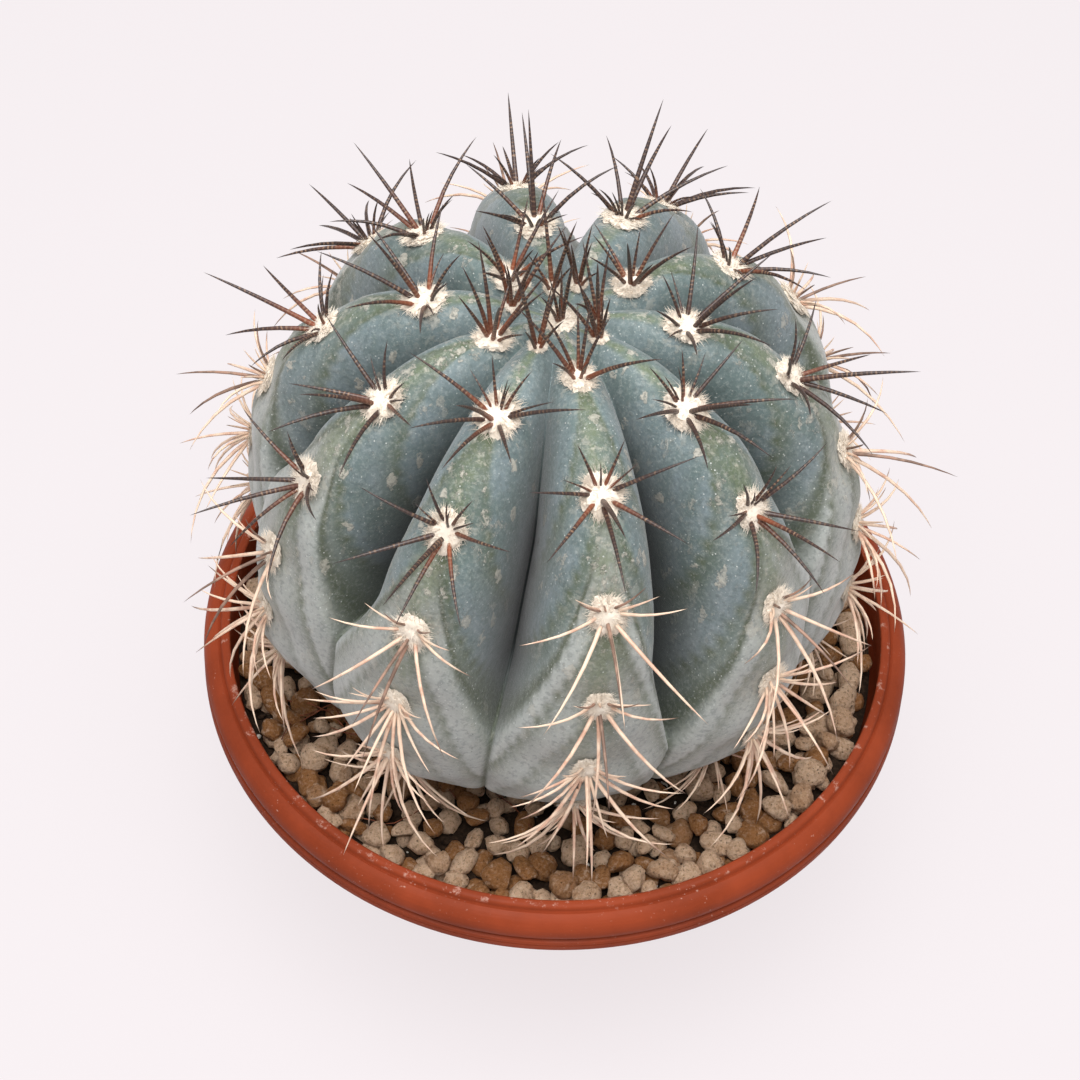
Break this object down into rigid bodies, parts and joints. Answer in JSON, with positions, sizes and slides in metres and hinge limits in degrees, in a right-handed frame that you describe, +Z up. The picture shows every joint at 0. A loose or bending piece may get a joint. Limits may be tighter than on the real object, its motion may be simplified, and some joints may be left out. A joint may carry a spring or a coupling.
{
  "type": "potted turk's cap cactus",
  "caption": "Ribbed blue-grey globe cactus with woolly areoles and long spines, in a shallow round plastic bowl pot dressed with pumice gravel.",
  "frame": {"origin": "centre of the pot's flat underside, where it stands", "axes": "+Z up, -Y towards the side the plant shows best, +X to that side's right"},
  "size_m": [0.205, 0.2056, 0.2329],
  "materials": {
    "pot": "satin terracotta",
    "soil": "dark crumbly potting soil",
    "gravel": "dusty tan pumice",
    "stem": "waxy blue-grey skin",
    "wool": "cream felt",
    "spines_dark": "dark red-brown, banded",
    "spines_pale": "pale bone"
  },
  "bodies": {
    "root": {"areole_0_1": "spines_dark", "areole_0_2": "spines_pale", "areole_0_3": "spines_pale", "areole_0_4": "spines_pale", "areole_0_5": "spines_pale", "areole_1_0": "spines_dark", "areole_1_1": "spines_dark", "areole_1_2": "spines_pale", "areole_1_3": "spines_pale", "areole_1_4": "spines_pale", "areole_1_5": "spines_pale", "areole_2_0": "spines_dark", "areole_2_1": "spines_dark", "areole_2_2": "spines_pale", "areole_2_3": "spines_pale", "areole_2_4": "spines_pale", "areole_2_5": "spines_pale", "areole_3_1": "spines_dark", "areole_3_2": "spines_pale", "areole_3_3": "spines_pale", "areole_3_4": "spines_pale", "areole_3_5": "spines_pale", "areole_4_0": "spines_dark", "areole_4_1": "spines_dark", "areole_4_2": "spines_pale", "areole_4_3": "spines_pale", "areole_4_4": "spines_pale", "areole_5_0": "spines_dark", "areole_5_1": "spines_dark", "areole_5_2": "spines_pale", "areole_5_3": "spines_pale", "areole_5_4": "spines_pale", "areole_5_5": "spines_pale", "areole_6_1": "spines_dark", "areole_6_2": "spines_dark", "areole_6_3": "spines_pale", "areole_6_4": "spines_pale", "areole_6_5": "spines_pale", "areole_7_0": "spines_dark", "areole_7_1": "spines_dark", "areole_7_2": "spines_pale", "areole_7_3": "spines_pale", "areole_7_4": "spines_pale", "areole_7_5": "spines_pale", "areole_8_1": "spines_dark", "areole_8_2": "spines_dark", "areole_8_3": "spines_pale", "areole_8_4": "spines_pale", "areole_8_5": "spines_pale", "areole_9_0": "spines_dark", "areole_9_1": "spines_dark", "areole_9_2": "spines_pale", "areole_9_3": "spines_pale", "areole_9_4": "spines_pale", "areole_9_5": "spines_pale", "crown": "wool", "gravel": "gravel", "pot": "pot", "soil": "soil", "stem": "stem"}
  },
  "joints": []
}
